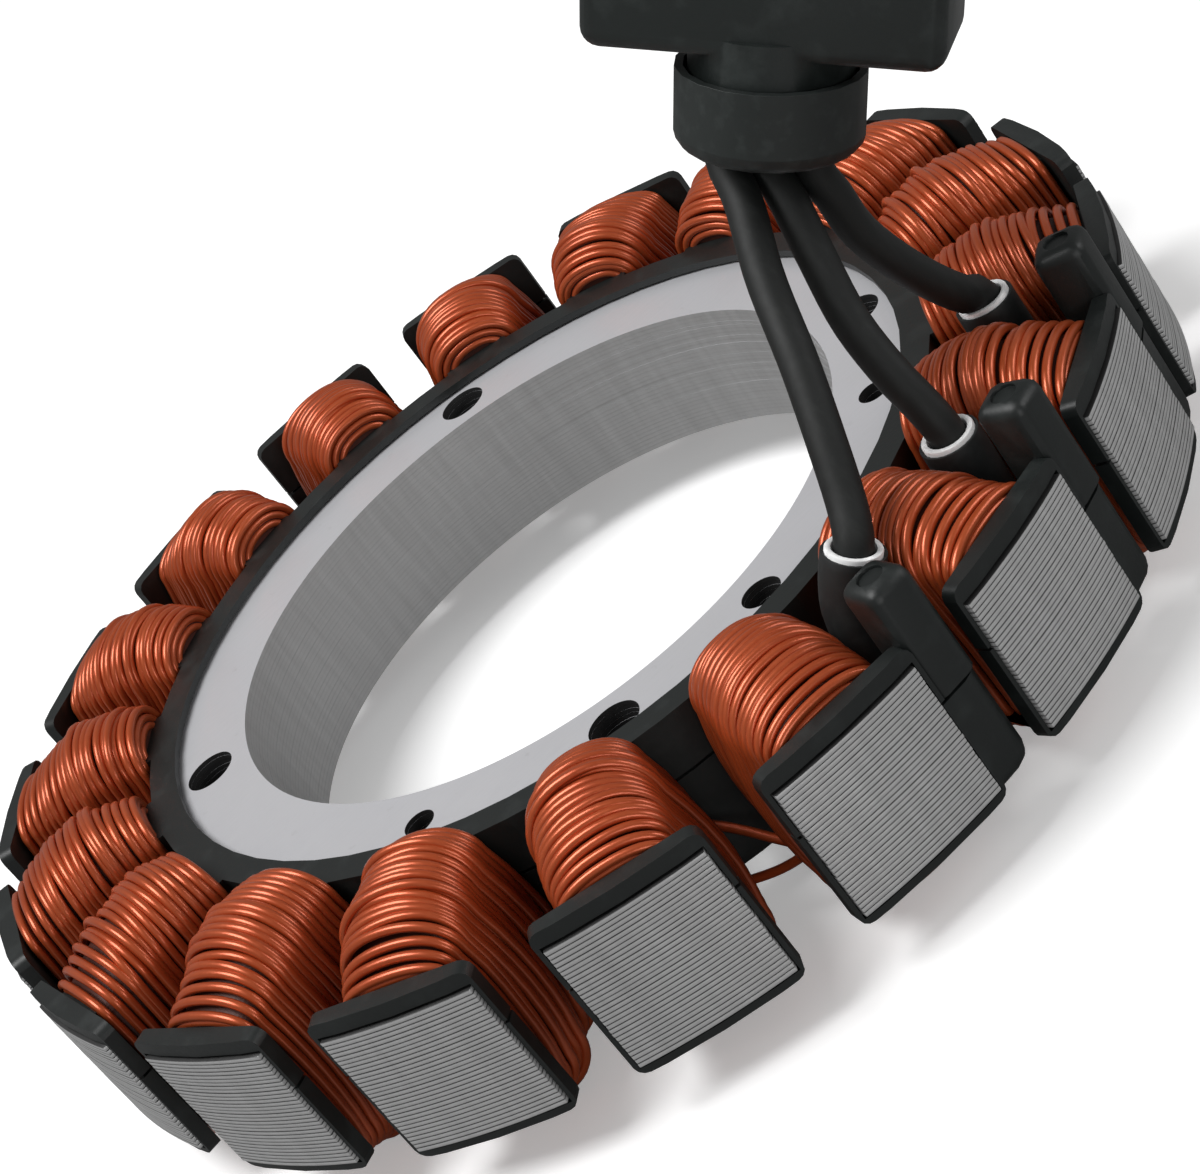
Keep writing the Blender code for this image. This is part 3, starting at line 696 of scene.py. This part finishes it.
def copy_of_node(node):
    """A welded copy of a CAD node, with its flat faces whole again."""
    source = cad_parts[node]
    copy = source.copy()
    copy.data = source.data.copy()
    copy.parent = None
    for key in list(copy.keys()):
        if key.startswith("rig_"):
            del copy[key]
    bpy.context.scene.collection.objects.link(copy)
    take_up(copy)
    bpy.ops.object.mode_set(mode="EDIT")
    bpy.ops.mesh.select_all(action="SELECT")
    bpy.ops.mesh.remove_doubles(threshold=0.00001)
    bpy.ops.mesh.dissolve_limited(angle_limit=math.radians(0.6))
    bpy.ops.object.mode_set(mode="OBJECT")
    return copy


def soften(thing, width, angle=35, segments=2):
    """Rounds every sharp edge a little, as a mould does."""
    bevel = thing.modifiers.new("mould edges", "BEVEL")
    bevel.width = width
    bevel.segments = segments
    bevel.limit_method = "ANGLE"
    bevel.angle_limit = math.radians(angle)
    bevel.harden_normals = True
    apply_modifiers(thing)


def make_insulators(material):
    for half in ("upper", "lower"):
        shell = copy_of_node(f"insulator_{half}")
        smooth(shell, 35)
        soften(shell, MOULD_EDGE)
        dress(shell, f"moulded_insulator_{half}", material, "insulator_resin", f"insulator_{half}")


def in_slot(slot, point):
    """The place of a route's point in its slot."""
    share, across, height = point
    place = Vector((SLOT_FLOOR + share * SLOT_ROOM, across, STACK_TOP + height))
    return Matrix.Rotation(PITCH * (slot + 0.5), 3, "Z") @ place


def plug_place():
    """The plug's own frame: X across its width, Z from the leads to its housing."""
    up = Vector(PLUG_AXIS).normalized()
    across = Vector(PLUG_WIDTH_DIRECTION)
    across = (across - across.dot(up) * up).normalized()
    turn = Matrix((across, up.cross(across), up)).transposed().to_4x4()
    return Matrix.Translation(in_slot(PLUG_SLOT, PLUG_FOOT)) @ turn


def smooth_route(points, spacing):
    """Points at about equal spacing along a smooth curve through the given ones."""
    ends = [2 * points[0] - points[1]] + list(points) + [2 * points[-1] - points[-2]]
    dense = []
    for first, second, third, fourth in zip(ends, ends[1:], ends[2:], ends[3:]):
        for step in range(20):
            t = step / 20
            dense.append(0.5 * (2 * second + (third - first) * t
                                + (2 * first - 5 * second + 4 * third - fourth) * t ** 2
                                + (3 * second - first - 3 * third + fourth) * t ** 3))
    dense.append(points[-1])
    route = [dense[0]]
    for point in dense:
        if (point - route[-1]).length >= spacing:
            route.append(point)
    if (dense[-1] - route[-1]).length > spacing / 3:
        route.append(dense[-1])
    else:
        route[-1] = dense[-1]
    return route


def route_length(route):
    return sum((second - first).length for first, second in zip(route, route[1:]))


def make_leads(finishes):
    plug = plug_place()
    pieces = []
    for index, offset in enumerate((-1, 0, 1)):
        sleeve = [in_slot(index, point) for point in SLEEVE_ROUTES[index]]
        mouth = sleeve[-1]
        outward = (mouth - sleeve[-2]).normalized()
        free = [mouth - outward * LEAD_DEPTH_IN_SLEEVE, mouth + outward * (LINER_STAND_OUT + FIT)]
        free += [in_slot(index, point) for point in LEAD_ROUTES[index]]
        free += [plug @ Vector((offset * LEAD_SPACING, 0, -LEAD_DIAMETER / 2)),
                 plug @ Vector((offset * LEAD_SPACING, 0, COLLAR_FLOOR - FIT))]
        route = smooth_route(free, 0.0014)
        lead = wire_curve("lead", [route], LEAD_DIAMETER / 2, 6)
        dress(lead, f"lead_wire_{index + 1}", finishes["lead"], "lead_jacket", f"lead_{index + 1}")
        pieces.append((lead, mouth, route))
        make_sleeve(index + 1, sleeve, outward, finishes)
    return pieces


def tube(name, route, diameter, wall):
    """An open sleeve with a wall inside its diameter."""
    curve = wire_curve(name, [route], diameter / 2, 10)
    curve.data.use_fill_caps = False
    shell = to_mesh(curve)
    solidify = shell.modifiers.new("wall", "SOLIDIFY")
    solidify.thickness = wall
    solidify.offset = -1
    solidify.use_even_offset = True
    bevel = shell.modifiers.new("cut edge", "BEVEL")
    bevel.width = wall * 0.3
    bevel.segments = 2
    bevel.limit_method = "ANGLE"
    bevel.angle_limit = math.radians(50)
    apply_modifiers(shell)
    smooth(shell, 40)
    return shell


def make_sleeve(number, route, outward, finishes):
    fine = smooth_route(route, 0.0009)
    sleeve = tube("sleeve", fine, SLEEVE_DIAMETER, SLEEVE_WALL)
    dress(sleeve, f"black_sleeve_{number}", finishes["sleeve"], "sleeve_black", f"lead_sleeve_{number}")
    longer = fine[:-1] + [fine[-1] + outward * LINER_STAND_OUT]
    liner = tube("liner", longer, LINER_DIAMETER, LINER_WALL)
    dress(liner, f"white_liner_{number}", finishes["liner"], "sleeve_white", f"sleeve_liner_{number}")


def finish_node(node, material):
    """Gives a CAD node that stays its better material."""
    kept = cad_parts[node]
    for holder in kept.material_slots:
        holder.material = material


def make_housing():
    """The housing on its neck, with its moulded edges well rounded and a well for each contact."""
    top = HOUSING_OFFSET + HOUSING_HEIGHT
    half = (HOUSING_WIDTH / 2, HOUSING_DEPTH / 2)
    body = box((-half[0], -half[1], HOUSING_OFFSET), (half[0], half[1], top))
    soften(body, HOUSING_ROUNDING, 35, 5)
    neck = cylinder(NECK_RADIUS, COLLAR_FLOOR + FIT, HOUSING_OFFSET + HOUSING_ROUNDING, 64)
    cut_with(body, "UNION", neck)
    for offset in (-1, 0, 1):
        well = cylinder(SOCKET_RADIUS, top - SOCKET_DEPTH, top + 0.002, 40, (offset * SOCKET_SPACING, 0))
        cut_with(body, "DIFFERENCE", well)
    body.data.transform(plug_place())
    smooth(body, 35)
    return body


def make_plug(finishes):
    seal = copy_of_node("plug_seal")
    smooth(seal, 35)
    soften(seal, COLLAR_EDGE)
    dress(seal, "plug_collar", finishes["seal"], "seal_rubber", "plug_seal")
    body = make_housing()
    dress(body, "plug_housing", finishes["plug"], "plug_resin", "plug_body")
    return [seal, body]


def make_camera():
    data = bpy.data.cameras.new("photo camera")
    data.lens = 89.08
    data.sensor_width = 36
    data.clip_start = 0.01
    data.clip_end = 10
    camera = bpy.data.objects.new("photo camera", data)
    right = Vector((0.41291, 0.73158, -0.54247))
    up = Vector((-0.24529, 0.66293, 0.70735))
    back = Vector((0.87711, -0.15901, 0.45319))
    camera.matrix_world = (Matrix.Translation((0.26981, -0.04579, 0.15167))
                           @ Matrix((right, up, back)).transposed().to_4x4())
    bpy.context.scene.collection.objects.link(camera)
    bpy.context.scene.camera = camera


def aimed(place, aim):
    """A lamp's own frame, which shines along its -Z."""
    place = Vector(place)
    return Matrix.Translation(place) @ (place - Vector(aim)).to_track_quat("Z", "Y").to_matrix().to_4x4()


def make_light(name, place, aim, size, power):
    data = bpy.data.lights.new(name, "AREA")
    data.shape = "DISK"
    data.size = size
    data.energy = power
    lamp = bpy.data.objects.new(name, data)
    lamp.matrix_world = aimed(place, aim)
    bpy.context.scene.collection.objects.link(lamp)


def floor_finish():
    """White paper to the camera, glowing more further out, and a grey sheet to the light it returns."""
    finish = Finish("white floor", (0.90, 0.90, 0.90), 0.9)
    seen = finish.node("ShaderNodeLightPath", {}, {}, "Is Camera Ray")
    paper = finish.mix(finish.noise(30, 2), (0.90, 0.90, 0.90), (0.92, 0.92, 0.92))
    distance = finish.distance()
    glow = finish.ramp(distance, (0.15, 0.30), (0.95, 1.0))
    paper = finish.mix(finish.ramp(distance, (0.35, 0.0), (0.95, 1.0)), paper, (0.10, 0.10, 0.10))
    finish.set("Base Color", finish.mix(seen, (0.25, 0.25, 0.25), paper))
    finish.set("Emission Color", finish.mix(seen, (0.0, 0.0, 0.0), glow))
    finish.set("Emission Strength", 1.0)
    return finish.material


def make_studio():
    """A white floor and room, one broad lamp overhead and two softer ones at the sides."""
    world = bpy.data.worlds.new("white room")
    bpy.context.scene.world = world
    world.use_nodes = True
    tree = world.node_tree
    background = tree.nodes["Background"]
    path = tree.nodes.new("ShaderNodeLightPath")
    seen = tree.nodes.new("ShaderNodeMath")
    seen.operation = "MAXIMUM"
    tree.links.new(path.outputs["Is Camera Ray"], seen.inputs[0])
    tree.links.new(path.outputs["Is Transmission Ray"], seen.inputs[1])
    level = tree.nodes.new("ShaderNodeMapRange")
    level.inputs["To Min"].default_value = 0.22
    level.inputs["To Max"].default_value = 1.0
    tree.links.new(seen.outputs[0], level.inputs["Value"])
    tree.links.new(level.outputs[0], background.inputs["Strength"])
    background.inputs["Color"].default_value = (1, 1, 1, 1)
    clear_selection()
    bpy.ops.mesh.primitive_plane_add(size=6, location=(0, 0, -0.0002))
    floor = bpy.context.object
    floor.name = "floor"
    floor.data.materials.append(floor_finish())
    make_light("overhead", (-0.04, -0.30, 0.77), (0.01, 0, 0.01), 0.50, 5.8)
    make_light("beside camera", (0.62, -0.06, 0.14), (0.04, 0, 0.01), 0.26, 0.60)
    make_light("behind the plug", (0.26, 0.55, 0.30), (0.03, 0.03, 0.01), 0.34, 0.95)
    bpy.context.scene.view_settings.view_transform = "Standard"


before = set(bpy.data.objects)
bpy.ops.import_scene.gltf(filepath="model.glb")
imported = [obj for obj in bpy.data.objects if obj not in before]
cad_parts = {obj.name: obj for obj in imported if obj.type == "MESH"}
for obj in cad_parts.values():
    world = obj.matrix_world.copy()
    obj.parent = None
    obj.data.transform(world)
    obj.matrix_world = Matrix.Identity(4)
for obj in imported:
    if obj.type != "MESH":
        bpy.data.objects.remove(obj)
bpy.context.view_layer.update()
make_camera()
make_studio()
finishes = {
    "steel": steel_finish(),
    "edges": edge_finish(),
    "under": under_copper_finish(),
    "resin": resin_finish("insulator resin", (0.007, 0.0095, 0.009), 0.47),
    "copper": copper_finish(),
    "lead": rubber_finish("lead jacket", (0.0025, 0.0035, 0.003), 0.60, (1.6, 1.6, 0.12)),
    "sleeve": rubber_finish("black sleeving", (0.010, 0.012, 0.012), 0.55),
    "liner": rubber_finish("white sleeving", (0.93, 0.93, 0.93), 0.45),
    "seal": rubber_finish("seal rubber", (0.014, 0.018, 0.017), 0.48),
    "plug": resin_finish("plug resin", (0.014, 0.018, 0.017), 0.44),
    "solder": Finish("tinned joint", (0.70, 0.68, 0.63), 0.35, metallic=1.0).material,
    "brass": Finish("contact brass", (0.75, 0.60, 0.30), 0.30, metallic=1.0).material,
}
leads = make_leads(finishes)
plug_pieces = make_plug(finishes)
for number in range(1, POST_COUNT + 1):
    finish_node(f"splice_{number}", finishes["solder"])
    finish_node(f"contact_pin_{number}", finishes["brass"])
contacts = [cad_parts[f"contact_pin_{number}"] for number in range(1, POST_COUNT + 1)]
for lead, mouth, route in leads:
    round(route_length(route), 3)
    plug_pieces + contacts
make_stack(finishes["steel"], finishes["edges"])
for index in range(TOOTH_COUNT):
    make_coil(index, finishes["copper"], finishes["under"])
make_insulators(finishes["resin"])
